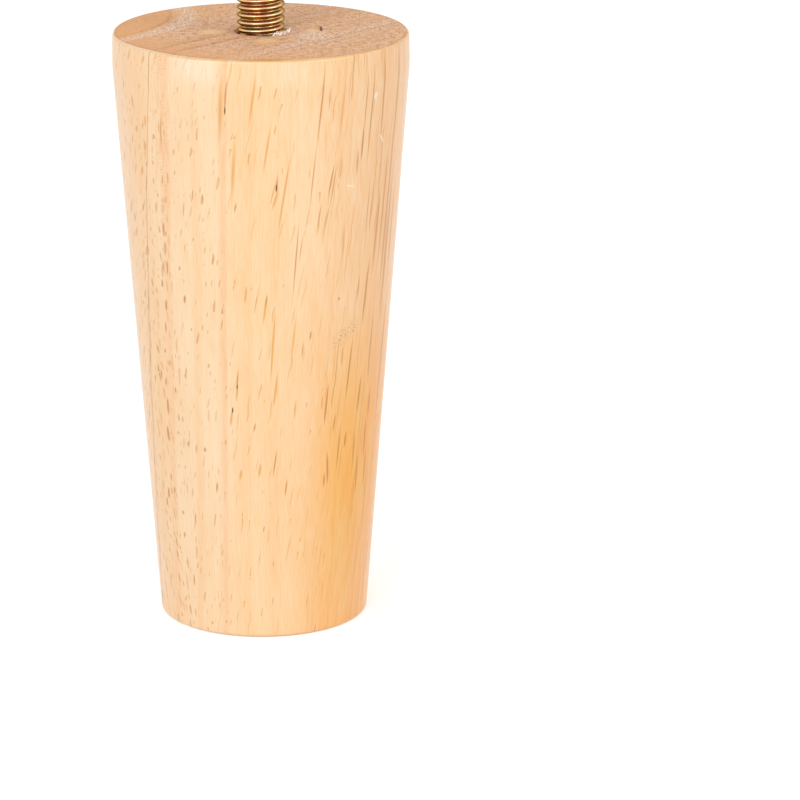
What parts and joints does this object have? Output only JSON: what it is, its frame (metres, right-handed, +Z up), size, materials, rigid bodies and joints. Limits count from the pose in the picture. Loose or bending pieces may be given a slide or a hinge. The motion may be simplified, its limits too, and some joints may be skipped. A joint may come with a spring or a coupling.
{
  "type": "tapered wooden furniture leg",
  "caption": "Round tapered furniture leg turned from lacquered hardwood, with a metric threaded stud in its top for screwing into a sofa, cabinet or bed base.",
  "frame": {"origin": "centre of the foot's flat underside, on the leg's axis", "axes": "+Z up the leg's axis from the foot to the stud; +Y away from the viewer of the picture; +X to the viewer's right"},
  "size_m": [0.0492, 0.0492, 0.125],
  "materials": {
    "lacquered_wood": "satin lacquer over pale close-grained hardwood",
    "zinc_plated_steel": "steel with a yellow passivated zinc plating"
  },
  "bodies": {
    "root": {"leg_body": "lacquered_wood", "hanger_bolt": "zinc_plated_steel"}
  },
  "joints": []
}
